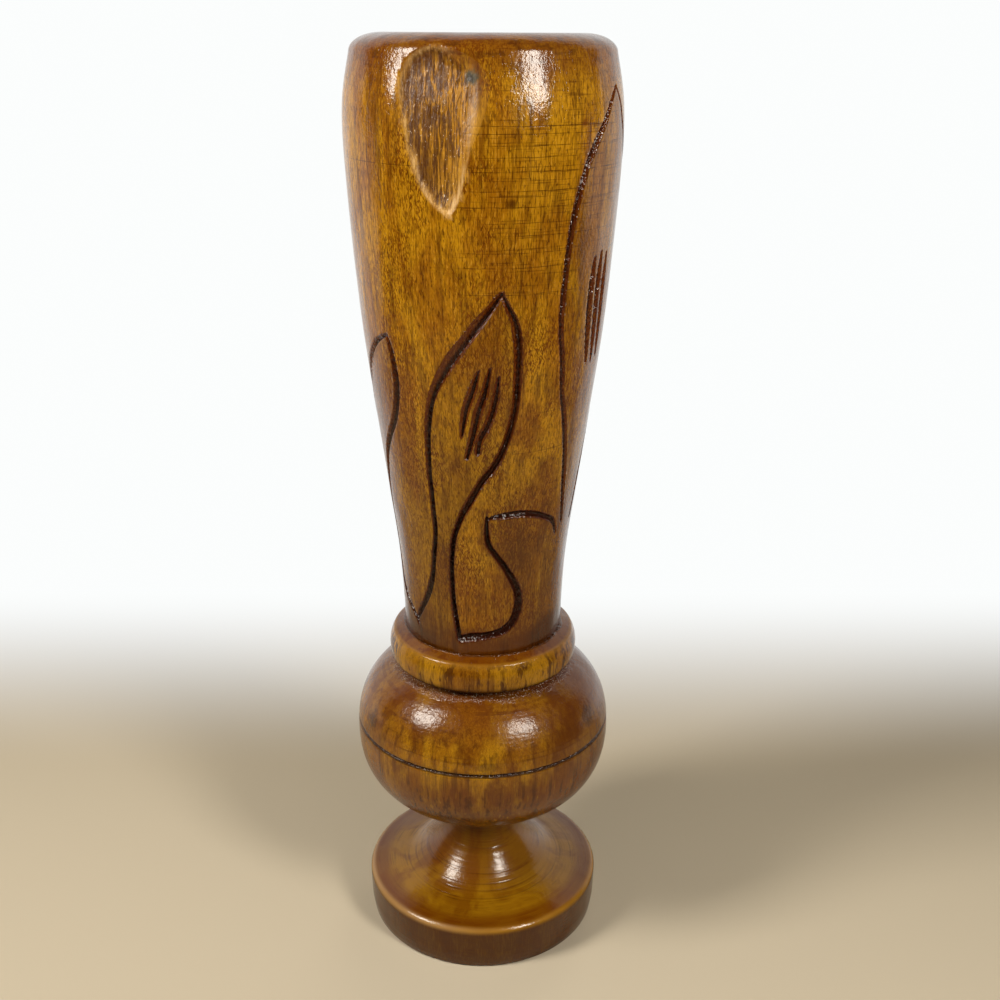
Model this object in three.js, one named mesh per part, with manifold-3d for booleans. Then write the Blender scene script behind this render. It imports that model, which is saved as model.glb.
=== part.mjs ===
// Turned and carved wooden bud vase, built up from four turned pieces.
// Millimetres, +Z up. The origin is the centre of the foot's underside, and the front faces -Y.
// Every turned piece shares the Z axis. Angles round it are in degrees: 0 at the front, 90 at +X.
import * as THREE from 'three';
import { mergeVertices } from 'three/addons/utils/BufferGeometryUtils.js';
import Module from 'manifold-3d';

const wasm = await Module();
wasm.setup();

// Foot: a thick disc that sweeps up into a slim neck, with a spigot on top.
const footRadius = 31.6;
const footThickness = 12.5;
const footTopRound = 1.8;
const footBottomRound = 1;
const footSideLean = 0.6;
const landRadius = 22;
const landRise = 1.2;
const flareFullness = 1.55;
const neckRadius = 7.9;
const neckHeight = 31;
const footHeight = 36.6;
const neckHeadRadius = 10.6;
const spigotRadius = 6.5;
const spigotLength = 20;

// Bulb: a squarish round knop with one turned line, bored at both ends.
const bulbRadius = 33.3;
const bulbSquareness = 2.35;
const bulbCoreRadius = 9;
const bulbEdge = 0.6;
const bulbHeight = 41.4;
const bulbEndTrim = 0.8;
const bulbMiddleRaise = 0.4;
const undercutDepth = 2.4;
const undercutHeight = 1.6;
const lineHeight = 24.1;
const lineWidth = 1.6;
const lineDepth = 0.8;

// Collar ring: a plump ring between the bulb and the body, with a narrow ledge on top.
const collarRadius = 24.3;
const collarHeight = 9.2;
const collarMiddle = 4.2;
const collarLowerTuck = 0.5;
const collarUpperTuck = 2.6;
const collarBottomRound = 1.6;
const collarEdgeRound = 1.1;
const collarLedgeDrop = 1.15;
const collarSeatWidth = 1;
const collarSeatRise = 0.35;

// Body: a hollow goblet shape, with a tenon underneath that passes through the collar ring.
const bodyHeight = 142.8;
const bodyBaseRadius = 20.1;
const bodyBellyRadius = 31.4;
const bodyRimRadius = 29.6;
const rimRoundWidth = 7.2;
const rimRoundHeight = 4;
const baseRound = 0.6;
const tenonRadius = 9;
const tenonReach = 11;
const mouthRadius = 19;
const mouthRound = 1.6;
const boreDepth = 125;
const boreBottomRadius = 12.5;
const boreBottomRound = 3;

// Fits: glue space round a spigot or tenon, and left over at the end of its socket.
const glueGap = 0.3;
const socketSpare = 1.5;
const endChamfer = 1;

// Carving: V grooves for the leaf outlines and veins, and one shallow gouged hollow.
const grooveWidth = 2.1;
const grooveDepth = 1.1;
const veinWidth = 1.6;
const veinDepth = 0.8;
const hollowWidth = 16;
const hollowDepth = 1.7;

// Facets
const turns = 60;
const arcSteps = 4;

// Heights at which the pieces meet, stacked from the foot up
const bulbBase = footHeight;
const collarBase = bulbBase + bulbHeight;
const bodyBase = collarBase + collarHeight;
const totalHeight = bodyBase + bodyHeight;

const point = (r, z) => new THREE.Vector2(r, z);

// Points of a quarter-like arc about a centre, from one angle to another, in degrees.
function arc(r, z, radiusR, radiusZ, fromAngle, toAngle, steps = arcSteps) {
  const points = [];
  for (let i = 0; i <= steps; i++) {
    const a = THREE.MathUtils.degToRad(fromAngle + ((toAngle - fromAngle) * i) / steps);
    points.push(point(r + radiusR * Math.cos(a), z + radiusZ * Math.sin(a)));
  }
  return points;
}

// Turns a profile about the Z axis into a closed mesh with shared vertices.
function turned(profile) {
  const lathe = new THREE.LatheGeometry(profile, turns);
  lathe.rotateX(Math.PI / 2);
  return welded(lathe);
}

// Merges the vertices and drops the flat triangles that lie on the axis.
function welded(geometry) {
  geometry.deleteAttribute('normal');
  geometry.deleteAttribute('uv');
  const merged = mergeVertices(geometry, 1e-5);
  const index = merged.index.array;
  const kept = [];
  for (let i = 0; i < index.length; i += 3) {
    const [a, b, c] = [index[i], index[i + 1], index[i + 2]];
    if (a !== b && b !== c && c !== a) kept.push(a, b, c);
  }
  merged.setIndex(kept);
  return merged;
}

function toSolid(geometry) {
  return new wasm.Manifold(
    new wasm.Mesh({
      numProp: 3,
      vertProperties: new Float32Array(geometry.attributes.position.array),
      triVerts: new Uint32Array(geometry.index.array),
    }),
  );
}

function toGeometry(solid) {
  const mesh = solid.getMesh();
  const geometry = new THREE.BufferGeometry();
  geometry.setAttribute('position', new THREE.BufferAttribute(mesh.vertProperties, 3));
  geometry.setIndex(new THREE.BufferAttribute(mesh.triVerts, 1));
  return geometry;
}

// Foot

// Points of the sweep from the disc's top up to the neck: part of a superellipse, nearly a cone.
function flare(steps) {
  const flareWidth = landRadius - neckRadius;
  const flareHeight = neckHeight - footThickness - landRise;
  const points = [];
  for (let i = 0; i <= steps; i++) {
    const a = (Math.PI / 2) * (i / steps);
    const inward = Math.sin(a) ** (2 / flareFullness);
    const drop = Math.cos(a) ** (2 / flareFullness);
    points.push(point(landRadius - flareWidth * inward, neckHeight - flareHeight * drop));
  }
  return points;
}

function footProfile() {
  const underside = footRadius - footSideLean - footBottomRound;
  const headWidth = neckHeadRadius - neckRadius;
  return [
    point(0, 0),
    ...arc(underside, footBottomRound, footBottomRound, footBottomRound, -90, 0, 2),
    ...arc(footRadius - footTopRound, footThickness - footTopRound, footTopRound, footTopRound, 0, 90, 3),
    ...flare(8),
    ...arc(neckHeadRadius, neckHeight, headWidth, footHeight - neckHeight, 180, 90, 3).slice(1),
    point(spigotRadius, footHeight),
    point(spigotRadius, footHeight + spigotLength - endChamfer),
    point(spigotRadius - endChamfer, footHeight + spigotLength),
    point(0, footHeight + spigotLength),
  ];
}

// Bulb

// The full round would run on a little past each seat: the ends are trimmed flat.
const bulbHalfHeight = bulbHeight / 2 + bulbEndTrim;
const bulbMiddle = bulbBase + bulbHeight / 2 + bulbMiddleRaise;

// Radius of the bulb's rounded outline at a height, before the turned line is cut.
function bulbRadiusAt(z) {
  const share = Math.min(1, Math.abs(z - bulbMiddle) / bulbHalfHeight);
  const swell = (1 - share ** bulbSquareness) ** (1 / bulbSquareness);
  return bulbCoreRadius + (bulbRadius - bulbCoreRadius) * swell;
}

// Points of the rounded outline between two heights, crowded where it curves most.
function bulbArc(fromZ, toZ, steps) {
  const angleAt = (z) => {
    const share = (z - bulbMiddle) / bulbHalfHeight;
    return Math.asin(Math.sign(share) * Math.min(1, Math.abs(share) ** (bulbSquareness / 2)));
  };
  const start = angleAt(fromZ);
  const end = angleAt(toZ);
  const points = [];
  for (let i = 0; i <= steps; i++) {
    const rise = Math.sin(start + ((end - start) * i) / steps);
    const z = bulbMiddle + bulbHalfHeight * Math.sign(rise) * Math.abs(rise) ** (2 / bulbSquareness);
    points.push(point(bulbRadiusAt(z), z));
  }
  return points;
}

function bulbProfile() {
  const lower = spigotRadius + glueGap;
  const upper = tenonRadius + glueGap;
  const lowerEnd = bulbBase + spigotLength + socketSpare;
  const upperEnd = collarBase - tenonReach - socketSpare;
  const lineZ = bulbBase + lineHeight;
  const undercutZ = collarBase - undercutHeight;
  const lipRadius = bulbRadiusAt(undercutZ);
  return [
    point(0, lowerEnd),
    point(lower, lowerEnd),
    point(lower, bulbBase),
    point(neckHeadRadius, bulbBase),
    ...bulbArc(bulbBase + bulbEdge, bulbMiddle, 6),
    point(bulbRadiusAt(lineZ - lineWidth / 2), lineZ - lineWidth / 2),
    point(bulbRadiusAt(lineZ) - lineDepth, lineZ),
    ...bulbArc(lineZ + lineWidth / 2, undercutZ, 6),
    ...arc(lipRadius, collarBase, undercutDepth, undercutHeight, -90, -180, 3).slice(1),
    point(upper, collarBase),
    point(upper, upperEnd),
    point(0, upperEnd),
  ];
}

// Collar ring

// Radius of the collar's side at a height above its underside: it tucks in from its widest place.
function collarRadiusAt(height) {
  const below = height < collarMiddle;
  const reach = below ? collarMiddle : collarHeight - collarMiddle;
  const tuck = below ? collarLowerTuck : collarUpperTuck;
  return collarRadius - tuck * ((height - collarMiddle) / reach) ** 2;
}

function collarProfile() {
  const bore = tenonRadius + glueGap;
  const edgeHeight = collarHeight - collarLedgeDrop - collarEdgeRound;
  const lowCentre = collarRadiusAt(collarBottomRound) - collarBottomRound;
  const edgeCentre = collarRadiusAt(edgeHeight) - collarEdgeRound;
  const sideHeights = [collarMiddle, (collarMiddle + edgeHeight) / 2];
  return [
    point(bore, collarBase),
    ...arc(lowCentre, collarBase + collarBottomRound, collarBottomRound, collarBottomRound, -90, 0, 3),
    ...sideHeights.map((height) => point(collarRadiusAt(height), collarBase + height)),
    ...arc(edgeCentre, collarBase + edgeHeight, collarEdgeRound, collarEdgeRound, 0, 80, 3),
    point(bodyBaseRadius + collarSeatWidth, bodyBase - collarSeatRise),
    point(bodyBaseRadius, bodyBase),
    point(bore, bodyBase),
    point(bore, collarBase),
  ];
}

// Body

// Outer wall, as shares of its height and of the way out from the base's radius to the belly's.
const swell = [
  [0, 0],
  [0.14, 0.078],
  [0.28, 0.293],
  [0.42, 0.523],
  [0.56, 0.738],
  [0.7, 0.89],
  [0.845, 1],
];
// Above the belly: shares of the height, and of the way out from the rim's radius to the belly's.
const turnIn = [
  [0.93, 0.93],
  [1, 0],
];
const wallHeight = bodyHeight - rimRoundHeight;
const between = (radius) => ([height, share]) =>
  point(THREE.MathUtils.lerp(radius, bodyBellyRadius, share), wallHeight * height);
const bodyWall = new THREE.SplineCurve([
  ...swell.map(between(bodyBaseRadius)),
  ...turnIn.map(between(bodyRimRadius)),
]);

// Radius of the body's outer wall at a height above the foot's underside.
function bodyRadiusAt(z) {
  const height = THREE.MathUtils.clamp(z - bodyBase, 0, wallHeight);
  let low = 0;
  let high = 1;
  for (let i = 0; i < 24; i++) {
    const middle = (low + high) / 2;
    if (bodyWall.getPoint(middle).y < height) low = middle;
    else high = middle;
  }
  return bodyWall.getPoint(low).x;
}

function bodyProfile() {
  const wallSteps = 18;
  const rimCentre = bodyRimRadius - rimRoundWidth;
  const boreBottom = totalHeight - boreDepth;
  const wall = [];
  for (let i = 0; i <= wallSteps; i++) {
    const z = bodyBase + baseRound + ((wallHeight - baseRound) * i) / wallSteps;
    wall.push(point(bodyRadiusAt(z), z));
  }
  return [
    point(0, bodyBase - collarHeight - tenonReach),
    point(tenonRadius - endChamfer, bodyBase - collarHeight - tenonReach),
    point(tenonRadius, bodyBase - collarHeight - tenonReach + endChamfer),
    point(tenonRadius, bodyBase),
    point(bodyBaseRadius - baseRound, bodyBase),
    ...wall,
    ...arc(rimCentre, totalHeight - rimRoundHeight, rimRoundWidth, rimRoundHeight, 0, 90, 5).slice(1),
    ...arc(mouthRadius + mouthRound, totalHeight - mouthRound, mouthRound, mouthRound, 90, 180, 3),
    ...arc(
      boreBottomRadius - boreBottomRound,
      boreBottom + boreBottomRound,
      boreBottomRound,
      boreBottomRound,
      0,
      -90,
      3,
    ),
    point(0, boreBottom),
  ];
}

// Carving

// A point of the body's wall, moved outwards by a lift: the angle in degrees, the height above the foot.
function onWall(angle, z, lift) {
  const a = THREE.MathUtils.degToRad(angle);
  const r = bodyRadiusAt(z) + lift;
  return new THREE.Vector3(r * Math.sin(a), -r * Math.cos(a), z);
}

// Joins closed sections, each with as many points as the next, into one closed solid.
function lofted(sections) {
  const count = sections[0].length;
  const position = sections.flat().flatMap((p) => [p.x, p.y, p.z]);
  const index = [];
  for (let s = 0; s + 1 < sections.length; s++) {
    for (let i = 0; i < count; i++) {
      const a = s * count + i;
      const b = s * count + ((i + 1) % count);
      index.push(a, b, a + count, b, b + count, a + count);
    }
  }
  const last = (sections.length - 1) * count;
  for (let i = 1; i + 1 < count; i++) {
    index.push(0, i + 1, i);
    index.push(last, last + i, last + i + 1);
  }
  const geometry = new THREE.BufferGeometry();
  geometry.setAttribute('position', new THREE.Float32BufferAttribute(position, 3));
  geometry.setIndex(index);
  return toSolid(geometry);
}

// The tool that cuts along a route on the wall, given as [angle, height] points.
// sizeAt gives the width and depth at a share of the route. section is the tool's outline across
// the route: [side, sink] in half widths and depths. Its edges run on above the wood.
function cutter(route, stepLength, sizeAt, section) {
  const curve = new THREE.CatmullRomCurve3(
    route.map(([angle, z]) => {
      const arcLength = THREE.MathUtils.degToRad(angle) * bodyBellyRadius;
      return new THREE.Vector3(arcLength, z, 0);
    }),
  );
  const steps = Math.max(4, Math.round(curve.getLength() / stepLength));
  const sections = [];
  for (let i = 0; i <= steps; i++) {
    const share = i / steps;
    const centre = curve.getPointAt(share);
    const along = curve.getTangentAt(share);
    const [width, depth] = sizeAt(share);
    const place = (side, lift) => {
      const z = centre.y + side * along.x;
      const arcLength = centre.x - side * along.y * (bodyBellyRadius / bodyRadiusAt(centre.y));
      return onWall(THREE.MathUtils.radToDeg(arcLength / bodyBellyRadius), z, lift);
    };
    sections.push(section.map(([side, sink]) => place((side * width) / 2, -sink * depth)));
  }
  return lofted(sections);
}

// A V groove that runs out to nothing over a short stretch at both ends. Its valley lies off the
// middle: lean is the share of the width to the left of it, looking along the route.
function groove({ lean, route }, width, depth) {
  const runOut = 0.08;
  const overrun = 0.5;
  const section = [
    [-2 * (1 - lean) * (1 + overrun), -overrun],
    [0, 1],
    [2 * lean * (1 + overrun), -overrun],
  ];
  const sizeAt = (share) => {
    const full = Math.min(1, share / runOut, (1 - share) / runOut);
    const size = Math.max(0.25, Math.sqrt(full));
    return [width * size, depth * size];
  };
  return cutter(route, 4, sizeAt, section);
}

// The drop-shaped hollow gouged out near the rim: broad at the top, drawn to a point below.
function gougedHollow() {
  const route = [
    [-13.5, 194.5],
    [-15, 205],
    [-17, 216],
    [-17.5, 227.5],
  ];
  const sizeAt = (share) => {
    const swell = Math.sin(Math.PI * (0.02 + share * 0.94) ** 1.25);
    return [hollowWidth * Math.sqrt(swell), hollowDepth * swell];
  };
  const section = [
    [-1.1, -0.5],
    [-0.85, 0.5],
    [-0.45, 0.9],
    [0, 1],
    [0.45, 0.9],
    [0.85, 0.5],
    [1.1, -0.5],
    [0, -1],
  ];
  return cutter(route, 2.4, sizeAt, section);
}

// Leaf outlines and stems, from the leaf's tip down.
const leafGrooves = [
  // Tall leaf at the right
  {
    lean: 0.3,
    route: [
      [66, 219.5], [56, 213], [46, 205.3], [41, 197.3], [37.7, 187], [36.3, 174.3],
      [39, 163.3], [45, 149], [52, 134.5], [57.5, 120],
    ],
  },
  {
    lean: 0.45,
    route: [
      [66, 219.5], [74, 212.5], [85, 203.2], [94.5, 186], [96, 176], [91, 157],
      [79, 136.5], [71.5, 119],
    ],
  },
  // Middle leaf, with its stem down to the base
  {
    lean: 0.3,
    route: [
      [8, 178.3], [-2, 170.9], [-15, 162], [-24, 154.4], [-28, 145.7], [-29.5, 134.5],
      [-29.2, 120.7], [-34.5, 107.6], [-45, 98], [-52.5, 93.5],
    ],
  },
  {
    lean: 0.3,
    route: [
      [8, 178.3], [13.7, 172.8], [16.4, 162], [14.8, 148.8], [5, 137], [-6.5, 129],
      [-16, 120.8], [-20, 111.8], [-19.8, 101.5], [-16, 91.2],
    ],
  },
  // Curl at the foot of the middle leaf
  {
    lean: 0.5,
    route: [
      [-17, 91.2], [3, 92.5], [19, 95], [25, 101.1], [19.5, 107.6], [8, 114.6],
      [2.2, 120.7], [2.2, 124.8],
    ],
  },
  // Short arched stroke
  { lean: 0.4, route: [[2.5, 124.4], [20, 125.4], [40, 123.1], [52, 117.6]] },
  // Left leaf
  {
    lean: 0.6,
    route: [
      [-49, 167], [-46, 159.8], [-48, 151.4], [-59, 142], [-74, 129], [-80.5, 111],
      [-68, 97.5], [-52.5, 92.3],
    ],
  },
  {
    lean: 0.35,
    route: [[-49, 167], [-64, 162], [-82, 150], [-94.5, 131], [-91, 109], [-79, 96]],
  },
];

// Veins: short strokes inside the leaves
const veinGrooves = [
  { lean: 0.4, route: [[54.7, 184], [54.3, 172], [57, 160]] },
  { lean: 0.4, route: [[60.3, 185], [60.3, 172], [62.5, 160]] },
  { lean: 0.4, route: [[66, 184.5], [66.3, 172], [68, 161]] },
  { lean: 0.35, route: [[-2, 161], [-6, 154], [-10.5, 145.5]] },
  { lean: 0.35, route: [[3.2, 161.5], [-1, 153], [-8.3, 140]] },
  { lean: 0.35, route: [[7.3, 159.6], [4, 150], [-2.5, 141.2]] },
];

function carvedBody() {
  let body = toSolid(turned(bodyProfile()));
  const cutters = [
    gougedHollow(),
    ...leafGrooves.map((shape) => groove(shape, grooveWidth, grooveDepth)),
    ...veinGrooves.map((shape) => groove(shape, veinWidth, veinDepth)),
  ];
  for (const tool of cutters) body = body.subtract(tool);
  return toGeometry(body);
}

// Assembly

const wood = (color) => new THREE.MeshStandardMaterial({ color, roughness: 0.3, metalness: 0 });

function piece(name, geometry, color) {
  const mesh = new THREE.Mesh(geometry, wood(color));
  mesh.name = name;
  return mesh;
}

const vase = new THREE.Group();
vase.add(piece('foot', turned(footProfile()), 0x8a4a12));
vase.add(piece('bulb', turned(bulbProfile()), 0x94520f));
vase.add(piece('collar_ring', turned(collarProfile()), 0x8e4c10));
vase.add(piece('body', carvedBody(), 0xa86a1e));

export default vase;
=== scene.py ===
"""Turned and carved wooden bud vase: a foot, a bulb, a collar ring and a carved, hollow body.

Metres, +Z up. The vase stands at the origin, and its front faces -Y.
Angles round the vase are in degrees: 0 at the front, 90 at +X.
Places in the materials are in millimetres.
"""
import math
from functools import partialmethod

import bmesh
import bpy
import numpy as np
from bpy.props import FloatProperty, FloatVectorProperty, PointerProperty
from mathutils import Matrix, Vector, noise
from mathutils.kdtree import KDTree


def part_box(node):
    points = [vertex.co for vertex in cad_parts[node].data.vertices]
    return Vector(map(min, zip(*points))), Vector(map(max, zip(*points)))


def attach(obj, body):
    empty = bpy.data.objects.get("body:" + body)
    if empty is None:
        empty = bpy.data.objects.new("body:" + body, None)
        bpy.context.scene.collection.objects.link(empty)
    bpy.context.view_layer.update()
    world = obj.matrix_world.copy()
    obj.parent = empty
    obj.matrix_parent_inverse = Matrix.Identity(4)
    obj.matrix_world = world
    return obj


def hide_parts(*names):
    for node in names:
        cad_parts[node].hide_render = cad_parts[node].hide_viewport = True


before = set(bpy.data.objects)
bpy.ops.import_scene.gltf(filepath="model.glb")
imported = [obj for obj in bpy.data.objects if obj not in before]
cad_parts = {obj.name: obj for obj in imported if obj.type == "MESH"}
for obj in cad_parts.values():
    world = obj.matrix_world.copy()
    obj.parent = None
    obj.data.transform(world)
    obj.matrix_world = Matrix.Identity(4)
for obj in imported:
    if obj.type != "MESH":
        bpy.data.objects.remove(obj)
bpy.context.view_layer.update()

bl_info = {
    "name": "Carved Wooden Bud Vase",
    "version": (1, 0, 0),
    "blender": (4, 5, 0),
    "location": "View3D > Sidebar > Bud Vase",
    "description": "Builds a turned and carved wooden bud vase on a plain studio stage",
    "category": "Add Mesh",
}

MM = 0.001

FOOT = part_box("foot")
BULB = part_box("bulb")
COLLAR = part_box("collar_ring")
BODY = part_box("body")

# Radii of the joints: the foot's spigot and the body's tenon, each in a hole with room for glue
SPIGOT = 6.5 * MM
SPIGOT_HOLE = 6.8 * MM
TENON = 9 * MM
TENON_HOLE = 9.3 * MM
# Bevel at the end of the spigot and of the tenon, and the room beyond that end
TIP_BEVEL = 1 * MM
END_ROOM = 1.5 * MM
# Radius of the foot's head, where it meets the bulb
HEAD = 10.6 * MM
# The bore's radius at its floor
BORE_FOOT = 12.5 * MM
# Radii, in millimetres, at which the wall is unrolled for the strokes and for the hollow
STROKE_RADIUS = 26
HOLLOW_RADIUS = 30


# Sizes and finishes


def length(description, default):
    return FloatProperty(
        description=description, default=default, min=0.0, unit="LENGTH", subtype="DISTANCE", precision=4
    )


def power(default):
    return FloatProperty(description="Watts", default=default, unit="POWER")


def tone(description, hex_colour):
    """A colour property whose default is written as it looks on screen."""
    levels = [int(hex_colour[i : i + 2], 16) / 255 for i in (0, 2, 4)]
    linear = [v / 12.92 if v <= 0.04045 else ((v + 0.055) / 1.055) ** 2.4 for v in levels]
    return FloatVectorProperty(
        description=description, default=linear, size=3, min=0.0, max=1.0, subtype="COLOR"
    )


class BudVaseSizes(bpy.types.PropertyGroup):
    foot_radius: length("Radius of the foot's disc", FOOT[1].x)
    foot_thickness: length("Thickness of the disc at its edge", 12.5 * MM)
    land_radius: length("Where the flare meets the disc's flat top", 22 * MM)
    land_rise: length("How far the disc's top rises towards the flare", 1.2 * MM)
    neck_radius: length("Slimmest radius under the bulb", 7.9 * MM)
    neck_height: length("Height of the slimmest place", 31 * MM)
    bulb_radius: length("Widest radius of the bulb", BULB[1].x)
    line_height: length("Height of the bulb's turned line", 60.7 * MM)
    line_width: length("Width of the bulb's turned line", 1.2 * MM)
    line_depth: length("Depth of the bulb's turned line", 0.8 * MM)
    collar_radius: length("Widest radius of the collar ring", COLLAR[1].x)
    body_base_radius: length("Body's radius on the collar", 20.1 * MM)
    belly_radius: length("Widest radius of the body", 31.4 * MM)
    rim_radius: length("Body's radius where the rim rounds over", 29.6 * MM)
    mouth_radius: length("Radius of the bore at the mouth", 19 * MM)
    bore_depth: length("Depth of the bore below the rim", 125 * MM)
    groove_depth: length("Depth of the carved outlines", 1.15 * MM)
    vein_depth: length("Depth of the short carved strokes", 0.9 * MM)
    hollow_depth: length("Depth of the gouged hollow", 1.8 * MM)


class BudVaseFinish(bpy.types.PropertyGroup):
    honey: tone("Lightest lacquered wood", "b07a0e")
    amber: tone("Common tone of the wood", "8c5606")
    # This tone also paints shade on the foot's side and at the body's base.
    russet: tone("Reddish lacquer pooled at edges", "5c2a02")
    # This dark tone also paints shade: towards the bottom of the body, at its base, over the collar, the
    # bulb and the foot, in the hollow, under the bulb, in the foot's turned steps and on its side.
    streak: tone("Dark grain streaks and flecks", "3e1c02")
    flank: tone("Stained slopes of the cuts", "521e06")
    # This tone also paints shade deep in the cuts, at the body's base and on the collar ring's
    # underside.
    stain: tone("Stain at the bottom of the cuts", "1e0703")
    raw: tone("Rough wood inside the hollow", "a06a10")
    # This tone also paints highlights: along the foot's rounded edge, the collar ring's upper edge and
    # the hollow's left bevel.
    pale: tone("Worn edges and thin lacquer", "c08a28")
    # Painted highlight specks, on torn fibres and along rounded edges.
    glint: tone("Bright specks of torn fibre", "f0dcb8")
    knot: tone("Small grey-green knot", "3e4032")
    bore: tone("Unlacquered wood inside the bore", "6a4a28")


class BudVaseStudio(bpy.types.PropertyGroup):
    lens: FloatProperty(description="Focal length in mm", default=43.2, unit="CAMERA")
    camera_distance: length("From the vase's axis to the camera", 281.4 * MM)
    left_power: power(2.05)
    right_power: power(1.4)
    back_power: power(3.5)
    surroundings: FloatProperty(description="Strength of the plain surroundings", default=0.09, min=0.0)
    floor: tone("Colour of the plain floor", "c2b296")


# Turned profiles


def arc(centre, radii, start, end, steps):
    """Points of an arc in the (radius, height) plane, between two angles in degrees."""
    turns = [math.radians(start + (end - start) * i / steps) for i in range(steps + 1)]
    return [(centre[0] + radii[0] * math.cos(t), centre[1] + radii[1] * math.sin(t)) for t in turns]


def with_rows(profile, spacing):
    """The profile with extra points wherever a straight run is longer than the spacing."""
    points = [profile[0]]
    for start, end in zip(profile, profile[1:]):
        rows = max(1, round(math.dist(start, end) / spacing))
        for share in (i / rows for i in range(1, rows + 1)):
            points.append(tuple(a + (b - a) * share for a, b in zip(start, end)))
    return points


def smooth_curve(points, spacing):
    """Even points on a smooth curve that passes through all the given ones."""
    ends = [points[0], *points, points[-1]]
    parts = 24
    fine = []
    for i in range(len(points) - 1):
        before, start, end, after = (np.array(p, float) for p in ends[i : i + 4])
        rise = end - before
        bend = 2 * before - 5 * start + 4 * end - after
        twist = 3 * start - before - 3 * end + after
        for t in (j / parts for j in range(parts)):
            fine.append(0.5 * (2 * start + rise * t + bend * t**2 + twist * t**3))
    fine = np.array([*fine, points[-1]], float)
    reach = np.concatenate([[0], np.cumsum(np.linalg.norm(np.diff(fine, axis=0), axis=1))])
    count = max(2, round(reach[-1] / spacing) + 1)
    even = np.linspace(0, reach[-1], count)
    return np.stack([np.interp(even, reach, fine[:, k]) for k in range(fine.shape[1])], axis=1)


def flare(sizes):
    """The sweep from the disc's top up to the neck: part of a superellipse, nearly a cone."""
    fullness = 1.55
    rows = 40
    base = sizes.foot_thickness + sizes.land_rise
    points = []
    for i in range(rows + 1):
        turn = math.pi / 2 * i / rows
        drop = math.cos(turn) ** (2 / fullness)
        inward = math.sin(turn) ** (2 / fullness)
        radius = sizes.land_radius - (sizes.land_radius - sizes.neck_radius) * inward
        points.append((radius, sizes.neck_height - (sizes.neck_height - base) * drop))
    return points


def foot_profile(sizes):
    top, seat = FOOT[1].z, BULB[0].z
    edge, thickness = sizes.foot_radius, sizes.foot_thickness
    heel = 1.0 * MM
    shoulder = 1.8 * MM
    under_bulb = (HEAD - sizes.neck_radius, seat - sizes.neck_height)
    return [
        (0, 0),
        *arc((edge - 1.6 * MM, heel), (heel, heel), -90, -30, 4),
        (edge - 0.25 * MM, thickness * 0.3),
        *arc((edge - shoulder, thickness - shoulder), (shoulder, shoulder), 0, 86, 12),
        *flare(sizes),
        *arc((HEAD, sizes.neck_height), under_bulb, 180, 90, 8)[1:],
        (SPIGOT, seat),
        (SPIGOT, top - TIP_BEVEL),
        (SPIGOT - TIP_BEVEL, top),
        (0, top),
    ]


def bulb_radius_at(height, sizes):
    """The bulb is a round knop with squarish shoulders."""
    core = 9 * MM
    squareness = 2.35
    bottom, top = BULB[0].z, BULB[1].z
    middle = (bottom + top) / 2 + 0.4 * MM
    half = (top - bottom) / 2 + 0.8 * MM
    share = min(1.0, abs(height - middle) / half)
    return core + (sizes.bulb_radius - core) * (1 - share**squareness) ** (1 / squareness)


def bulb_profile(sizes):
    bottom, top = BULB[0].z, BULB[1].z
    low, lip = bottom + 0.6 * MM, top - 1.6 * MM
    foot_hole, body_hole = FOOT[1].z + END_ROOM, BODY[0].z - END_ROOM
    rows = 64
    turns = [math.pi * i / rows for i in range(rows + 1)]
    heights = [low + (lip - low) * (1 - math.cos(turn)) / 2 for turn in turns]
    heights += [sizes.line_height + step * sizes.line_width / 5 for step in range(-5, 6)]
    return [
        (0, foot_hole),
        (SPIGOT_HOLE, foot_hole),
        (SPIGOT_HOLE, bottom),
        (HEAD, bottom),
        *[(bulb_radius_at(height, sizes), height) for height in sorted(heights)],
        *arc((bulb_radius_at(lip, sizes), top), (2.4 * MM, 1.6 * MM), -90, -180, 6)[1:],
        (TENON_HOLE, top),
        (TENON_HOLE, body_hole),
        (0, body_hole),
    ]


# How far in the collar ring's side lies, and how high above its bottom, in millimetres
COLLAR_SIDE = [(0.03, 3.2), (0, 4.2), (0.15, 5.4), (0.5, 6.6)]


def collar_profile(sizes):
    bottom, top = COLLAR[0].z, COLLAR[1].z
    widest, seat = sizes.collar_radius, sizes.body_base_radius
    return [
        (TENON_HOLE, bottom),
        *arc((widest - 1.6 * MM, bottom + 1.7 * MM), (1.4 * MM, 1.7 * MM), -90, -8, 8),
        *[(widest - inward * MM, bottom + height * MM) for inward, height in COLLAR_SIDE],
        *arc((widest - 1.95 * MM, top - 2.1 * MM), (1.1 * MM, 0.95 * MM), 8, 78, 8),
        (seat + 1.0 * MM, top - 0.35 * MM),
        (seat + 0.25 * MM, top - 0.12 * MM),
        (seat - 0.1 * MM, top),
        (TENON_HOLE, top),
        (TENON_HOLE, bottom),
    ]


# Share of the wall's height, and share of the way from the base's radius to the belly's
BODY_SWELL = [
    (0, 0), (0.14, 0.078), (0.28, 0.293), (0.42, 0.523), (0.56, 0.738), (0.7, 0.89), (0.845, 1)
]
# The same above the belly, with the share of the way from the rim's radius to the belly's
RIM_TURN = (0.93, 0.93)


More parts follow.
